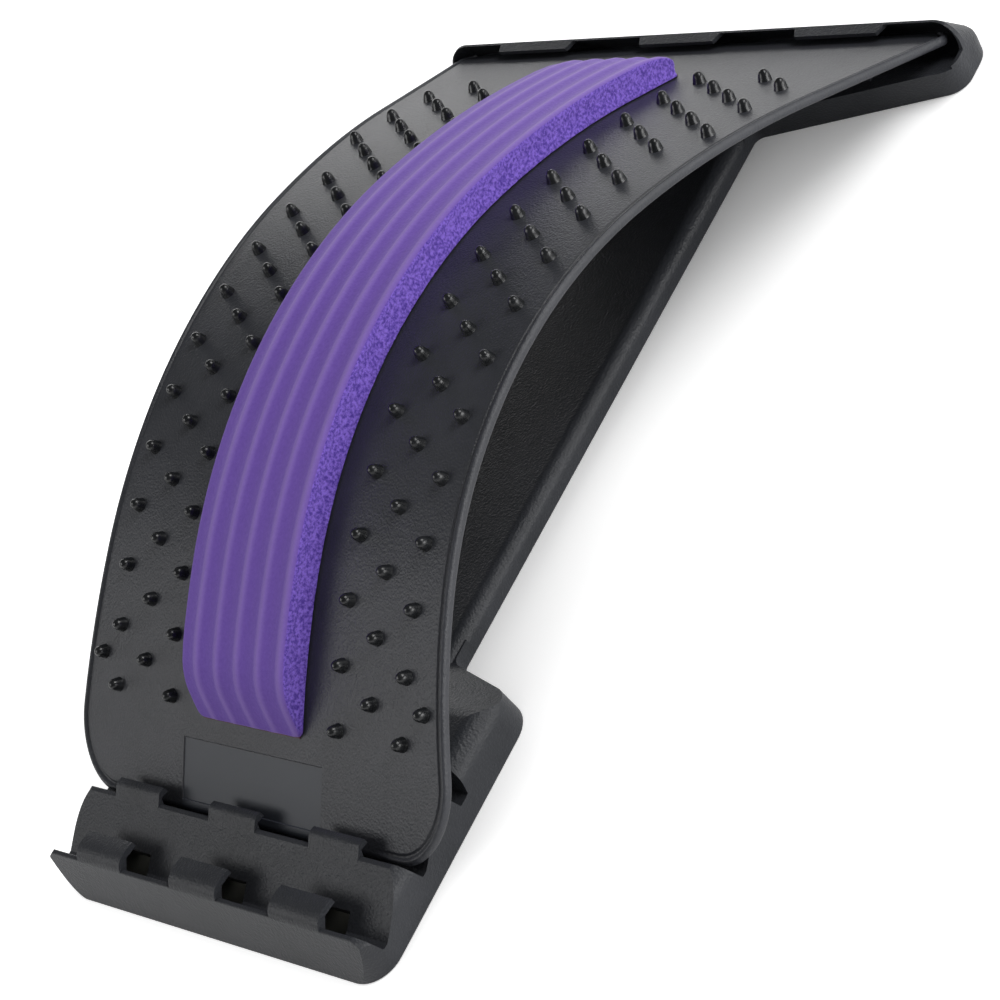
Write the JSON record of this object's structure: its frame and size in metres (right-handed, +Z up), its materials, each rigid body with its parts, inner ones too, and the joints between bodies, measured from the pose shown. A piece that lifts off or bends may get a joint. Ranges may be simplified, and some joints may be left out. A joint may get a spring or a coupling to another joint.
{
  "type": "back stretcher",
  "caption": "Arched back stretcher with rows of soft nubs, a channelled foam strip and a stepped hook base.",
  "frame": {"origin": "on the floor at the middle of the base board", "axes": "+X along the object towards the end with three hook rows, +Y to the side, +Z up"},
  "size_m": [0.3797, 0.243, 0.0911],
  "materials": {
    "base_plastic": "fine textured charcoal",
    "plate_plastic": "fine textured charcoal",
    "nub_plastic": "smooth soft black",
    "foam": "closed cell purple foam with porous cut sides",
    "tape": "dark adhesive"
  },
  "bodies": {
    "base": {"base_board": "base_plastic"},
    "plate": {"arch_plate": "plate_plastic", "foam_strip": "foam", "foam_tape": "tape", "nubs_left_1": "nub_plastic", "nubs_left_2": "nub_plastic", "nubs_left_3": "nub_plastic", "nubs_left_4": "nub_plastic", "nubs_right_1": "nub_plastic", "nubs_right_2": "nub_plastic", "nubs_right_3": "nub_plastic", "nubs_right_4": "nub_plastic"}
  },
  "joints": [
    {"name": "plate_shift", "type": "hinge", "parent": "base", "child": "plate", "pos_m": [-0.0385, 0, -0.2421], "axis": [0, -1, 0], "range_deg": [0, 0.88], "stiffness_Nm_per_rad": 50}
  ]
}
